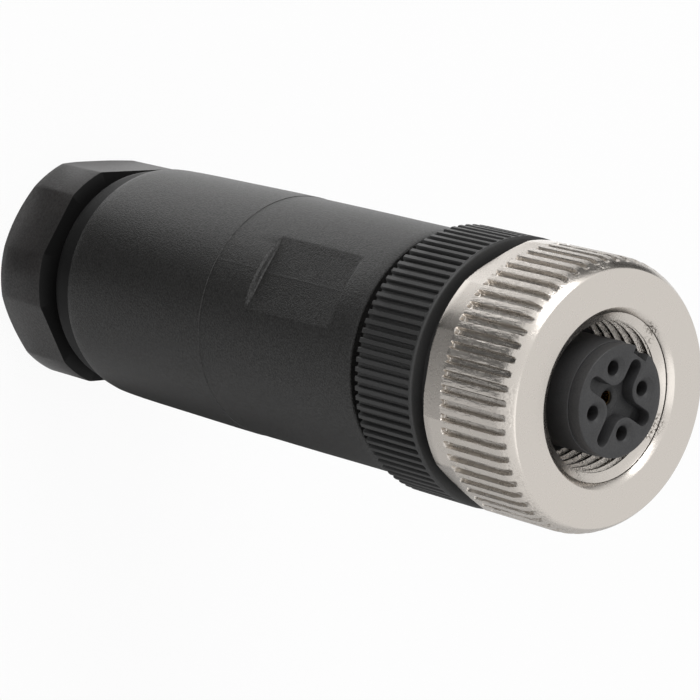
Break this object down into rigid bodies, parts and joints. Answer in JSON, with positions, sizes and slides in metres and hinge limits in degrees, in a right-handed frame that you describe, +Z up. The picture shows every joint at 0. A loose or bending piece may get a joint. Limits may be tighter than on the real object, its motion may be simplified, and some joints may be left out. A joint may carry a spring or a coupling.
{
  "type": "circular connector",
  "caption": "Straight female circular connector with knurled coupling nut, keyed insert with socket contacts, ridged grip ring, moulded sleeve and hexagonal cable gland.",
  "frame": {"origin": "centre of the coupling nut's front face, on the connector's axis", "axes": "+Z up along the axis towards the mate, the connector standing on its gland nut; the key of the insert points to -X, +Y completes a right-handed frame; the cable enters from -Z"},
  "size_m": [0.0202, 0.0202, 0.0617],
  "materials": {
    "nickel": "nickel plated, satin to bright",
    "spring_steel": "bare spring steel",
    "seal_rubber": "matt black",
    "insert_plastic": "moulded, fine matt",
    "ring_plastic": "moulded, satin",
    "gold": "gold plated",
    "screw_steel": "zinc plated",
    "sleeve_plastic": "moulded, fine grain",
    "cage_plastic": "moulded",
    "gland_plastic": "moulded, smooth matt"
  },
  "bodies": {
    "front_end": {"contact_carrier": "insert_plastic", "grip_ring": "ring_plastic", "retaining_ring": "spring_steel", "face_seal": "seal_rubber", "contact_1": "gold", "contact_2": "gold", "contact_3": "gold", "contact_4": "gold", "contact_centre": "gold", "terminal_screws": "screw_steel", "wire_guide": "insert_plastic"},
    "coupling_nut": {"coupling_nut": "nickel"},
    "joint_seal": {"joint_seal": "seal_rubber"},
    "housing": {"housing_sleeve": "sleeve_plastic", "grommet": "seal_rubber", "clamp_cage": "cage_plastic"},
    "thrust_ring": {"thrust_ring": "cage_plastic"},
    "gland_nut": {"gland_nut": "gland_plastic"}
  },
  "joints": [
    {"name": "nut_spin", "type": "hinge", "parent": "front_end", "child": "coupling_nut", "pos_m": [0, 0, -0.0045], "axis": [0, 0, 1], "continuous": true},
    {"name": "sleeve_travel", "type": "slide", "parent": "front_end", "child": "joint_seal", "axis": [0, 0, -1], "range_m": [0, 0.0045]},
    {"name": "sleeve_unscrew", "type": "hinge", "parent": "joint_seal", "child": "housing", "pos_m": [0, 0, -0.0168], "axis": [0, 0, -1], "range_deg": [0, 1620]},
    {"name": "gland_travel", "type": "slide", "parent": "housing", "child": "thrust_ring", "axis": [0, 0, -1], "range_m": [0, 0.005]},
    {"name": "gland_unscrew", "type": "hinge", "parent": "thrust_ring", "child": "gland_nut", "pos_m": [0, 0, -0.0548], "axis": [0, 0, -1], "range_deg": [0, 1800]}
  ],
  "couplings": [
    {"joint": "sleeve_unscrew", "follows": "sleeve_travel", "rad_per_m": 6283.1},
    {"joint": "gland_unscrew", "follows": "gland_travel", "rad_per_m": 6283.1}
  ]
}
